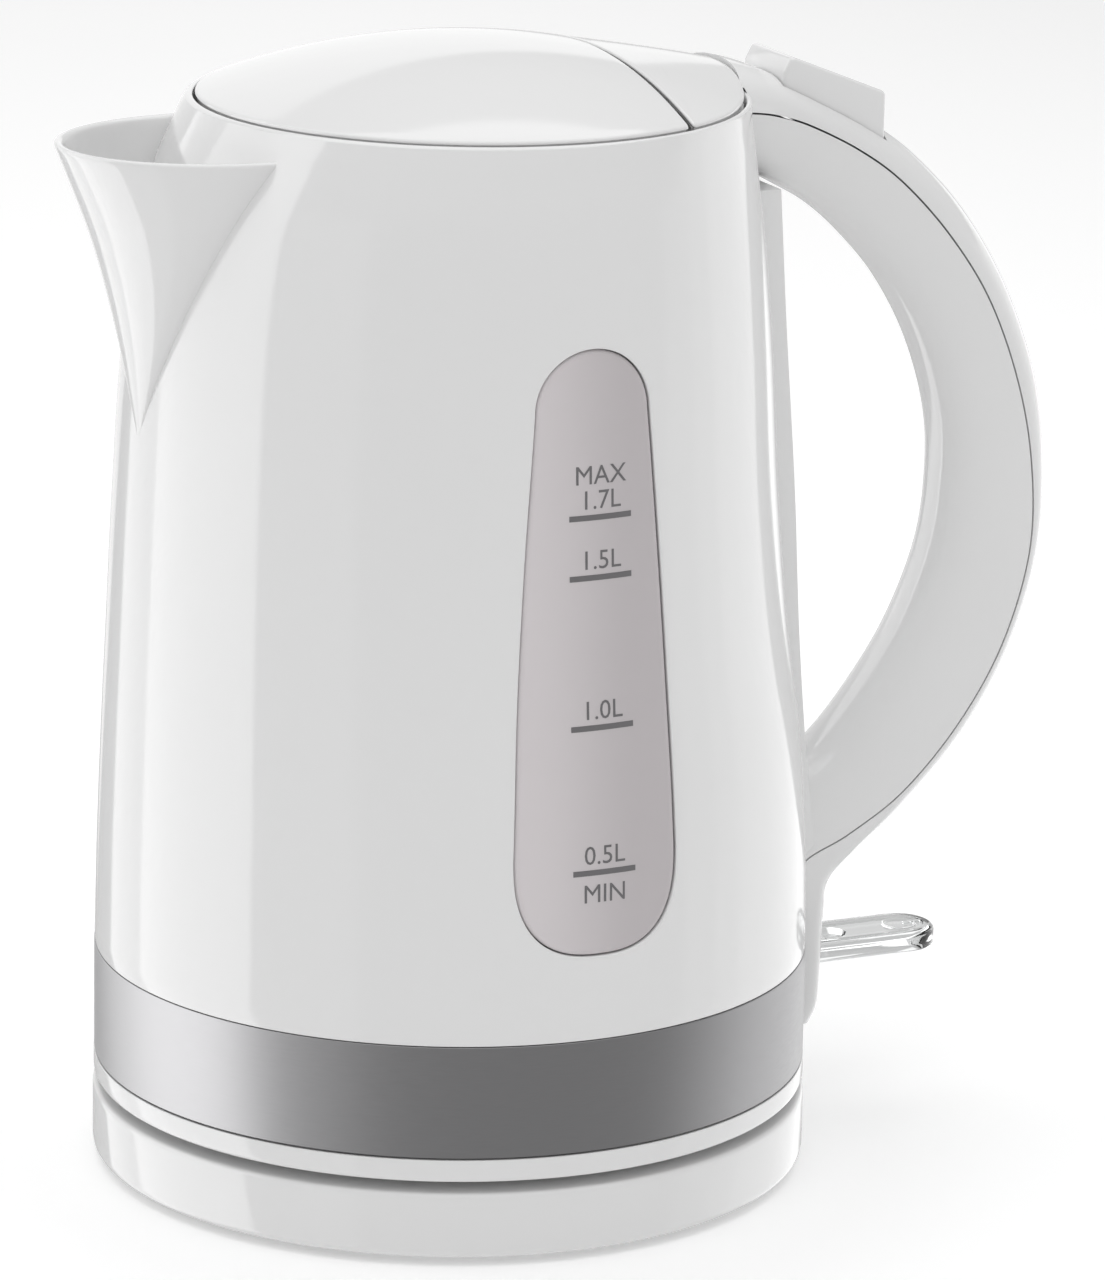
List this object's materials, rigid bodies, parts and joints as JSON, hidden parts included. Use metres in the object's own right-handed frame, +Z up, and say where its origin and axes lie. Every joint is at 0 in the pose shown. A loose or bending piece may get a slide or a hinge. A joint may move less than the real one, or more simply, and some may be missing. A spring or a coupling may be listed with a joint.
{
  "type": "electric kettle",
  "caption": "White cordless electric kettle with V-shaped spout, water window, domed hinged lid, D-shaped rear handle, clear switch lever, steel band and round power base.",
  "frame": {"origin": "on the kettle's upright axis at table level, 1.5 mm below the flat underside of the power base", "axes": "+Z up, +X towards the handle, -X towards the spout, -Y towards the water window"},
  "size_m": [0.2305, 0.1576, 0.2476],
  "materials": {
    "white_gloss": "glossy moulded white plastic",
    "white_inner": "satin white moulding, hidden or inside",
    "window_clear": "smoky translucent window with printed litre marks",
    "steel_brushed": "brushed stainless steel",
    "steel_plain": "plain steel of screws, pins and springs",
    "black_plastic": "black heat-resistant moulding",
    "brass": "brass contacts and bimetals",
    "element": "aluminium element sheath",
    "silicone": "translucent silicone rubber",
    "foot_rubber": "light grey rubber foot",
    "lever_clear": "clear acrylic"
  },
  "bodies": {
    "base": {"base_shell": "white_gloss", "base_bottom_plate": "white_gloss", "base_screw_1": "steel_plain", "base_screw_2": "steel_plain", "base_screw_3": "steel_plain", "base_foot_1": "foot_rubber", "base_foot_2": "foot_rubber", "base_foot_3": "foot_rubber", "base_foot_4": "foot_rubber", "base_socket": "black_plastic", "live_contact_ring": "brass", "neutral_contact_ring": "brass", "cord_outlet": "black_plastic"},
    "turntable": {"centre_contact": "brass"},
    "kettle": {"kettle_body": "white_gloss", "water_window": "window_clear", "filter_frame": "white_inner", "filter_mesh": "steel_brushed", "steel_band": "steel_brushed", "bottom_housing": "white_gloss", "floor_screw_1": "steel_plain", "floor_screw_2": "steel_plain", "floor_screw_3": "steel_plain", "heating_plate": "steel_brushed", "plate_seal": "silicone", "heating_element": "element", "kettle_connector": "black_plastic", "thermostat_control": "black_plastic", "boil_dry_bimetal_1": "brass", "boil_dry_bimetal_2": "brass", "back_plate": "white_gloss", "steam_tube": "silicone", "handle_shell": "white_gloss", "handle_cover": "white_gloss", "hinge_cover": "white_gloss", "hinge_bracket": "white_inner", "hinge_pin": "steel_plain", "lid_spring": "steel_plain", "switch_pin": "steel_plain", "indicator_lamp": "lever_clear", "steam_bimetal": "brass", "switch_contact": "brass"},
    "lid": {"lid_cover": "white_gloss", "lid_inner": "white_inner", "lid_seal": "silicone"},
    "button": {"lid_button": "white_gloss"},
    "latch": {"lid_latch": "white_inner"},
    "switch": {"switch_lever": "lever_clear"}
  },
  "joints": [
    {"name": "kettle_turn", "type": "hinge", "parent": "base", "child": "turntable", "pos_m": [0, 0, 0.03], "axis": [0, 0, 1], "continuous": true},
    {"name": "kettle_lift", "type": "slide", "parent": "turntable", "child": "kettle", "axis": [0, 0, 1], "range_m": [0, 0.06]},
    {"name": "lid_hinge", "type": "hinge", "parent": "kettle", "child": "lid", "pos_m": [0.0264, 0, 0.2416], "axis": [0, 1, 0], "range_deg": [0, 75]},
    {"name": "button_press", "type": "slide", "parent": "kettle", "child": "button", "axis": [0, 0, -1], "range_m": [0, 0.003], "stiffness_N_per_m": 600, "springref_m": -0.001},
    {"name": "latch_draw", "type": "slide", "parent": "kettle", "child": "latch", "axis": [1, 0, 0], "range_m": [0, 0.0024]},
    {"name": "switch_rock", "type": "hinge", "parent": "kettle", "child": "switch", "pos_m": [0.0813, 0, 0.0364], "axis": [0, 1, 0], "range_deg": [0, 12]}
  ],
  "couplings": [
    {"joint": "latch_draw", "follows": "button_press", "ratio": 0.8}
  ]
}
